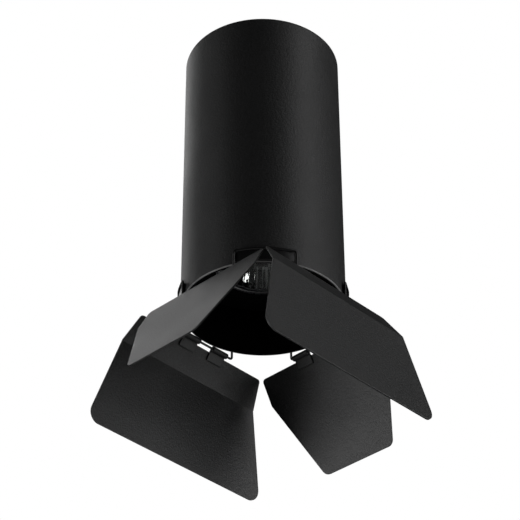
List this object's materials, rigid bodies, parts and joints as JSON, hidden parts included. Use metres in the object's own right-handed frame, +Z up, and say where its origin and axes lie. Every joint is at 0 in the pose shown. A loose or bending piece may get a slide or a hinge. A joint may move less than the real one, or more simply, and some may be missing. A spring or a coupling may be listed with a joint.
{
  "type": "ceiling spotlight with barn door attachment",
  "caption": "Black tube ceiling spotlight with a recessed lamp and a barn door attachment: wide folded and tapered leaves hinged on a spring wire frame.",
  "frame": {"origin": "middle of the ceiling face of the mounting bracket, on the tube's axis", "axes": "+Z up along the tube's axis towards the ceiling; -Y towards the meeting corner of the wide front leaf and the tapered left leaf"},
  "size_m": [0.1665, 0.165, 0.2282],
  "materials": {
    "housing_coat": "fine-textured matt black powder coat on steel tube",
    "leaf_coat": "fine-textured matt black powder coat on sheet steel",
    "clip_coat": "satin black coat on strip steel",
    "wire_coat": "satin black coated spring wire",
    "plate_coat": "satin black coated steel",
    "baffle_coat": "deep matt black heat-proof coat",
    "zinc_steel": "bright zinc plate",
    "screw_steel": "zinc plated screw steel",
    "black_screw": "black oxide screw steel",
    "grommet_rubber": "soft matt rubber",
    "terminal_body": "natural white polyamide",
    "terminal_brass": "plain brass",
    "lead_silicone": "silicone insulated lead",
    "ceramic": "opaque white steatite ceramic, matt",
    "reflector": "faceted aluminised glass",
    "front_glass": "clear flat glass",
    "quartz": "clear quartz capsule",
    "pin_nickel": "nickel plated pins"
  },
  "bodies": {
    "housing": {"housing_tube": "housing_coat", "ceiling_bracket": "zinc_steel", "bracket_side_screws": "black_screw", "cable_grommet": "grommet_rubber", "terminal_block": "terminal_body", "terminal_inserts": "terminal_brass", "terminal_clamp_screws": "screw_steel", "terminal_fixing_screw": "screw_steel", "earth_clamp": "zinc_steel", "earth_screw": "screw_steel", "lampholder_lead_live": "lead_silicone", "lampholder_lead_neutral": "lead_silicone", "baffle_ring": "baffle_coat", "lamp_bridge": "zinc_steel", "bridge_screws": "black_screw", "lampholder": "ceramic", "lampholder_screws": "screw_steel", "lamp_reflector": "reflector", "lamp_front_glass": "front_glass", "lamp_capsule": "quartz", "lamp_base": "ceramic", "lamp_pins": "pin_nickel", "hinge_wire_frame": "wire_coat", "retaining_plate_right": "plate_coat", "retaining_plate_back": "plate_coat", "retaining_plate_left": "plate_coat", "retaining_plate_front": "plate_coat"},
    "leaf_wide_front_body": {"leaf_wide_front": "leaf_coat", "clip_wide_front_a": "clip_coat", "clip_wide_front_b": "clip_coat"},
    "leaf_tapered_left_body": {"leaf_tapered_left": "leaf_coat", "clip_tapered_left_a": "clip_coat", "clip_tapered_left_b": "clip_coat"},
    "leaf_wide_back_body": {"leaf_wide_back": "leaf_coat", "clip_wide_back_a": "clip_coat", "clip_wide_back_b": "clip_coat"},
    "leaf_tapered_right_body": {"leaf_tapered_right": "leaf_coat", "clip_tapered_right_a": "clip_coat", "clip_tapered_right_b": "clip_coat"}
  },
  "joints": [
    {"name": "leaf_wide_front_hinge", "type": "hinge", "parent": "housing", "child": "leaf_wide_front_body", "pos_m": [0.02805, -0.02805, -0.1659], "axis": [-0.7071, -0.7071, 0], "range_deg": [-28.9, 73.1]},
    {"name": "leaf_tapered_left_hinge", "type": "hinge", "parent": "housing", "child": "leaf_tapered_left_body", "pos_m": [-0.02805, -0.02805, -0.1659], "axis": [-0.7071, 0.7071, 0], "range_deg": [-66.35, 77.65]},
    {"name": "leaf_wide_back_hinge", "type": "hinge", "parent": "housing", "child": "leaf_wide_back_body", "pos_m": [-0.02805, 0.02805, -0.1659], "axis": [0.7071, 0.7071, 0], "range_deg": [-30.75, 71.25]},
    {"name": "leaf_tapered_right_hinge", "type": "hinge", "parent": "housing", "child": "leaf_tapered_right_body", "pos_m": [0.02805, 0.02805, -0.1659], "axis": [0.7071, -0.7071, 0], "range_deg": [-67.3, 76.7]}
  ]
}
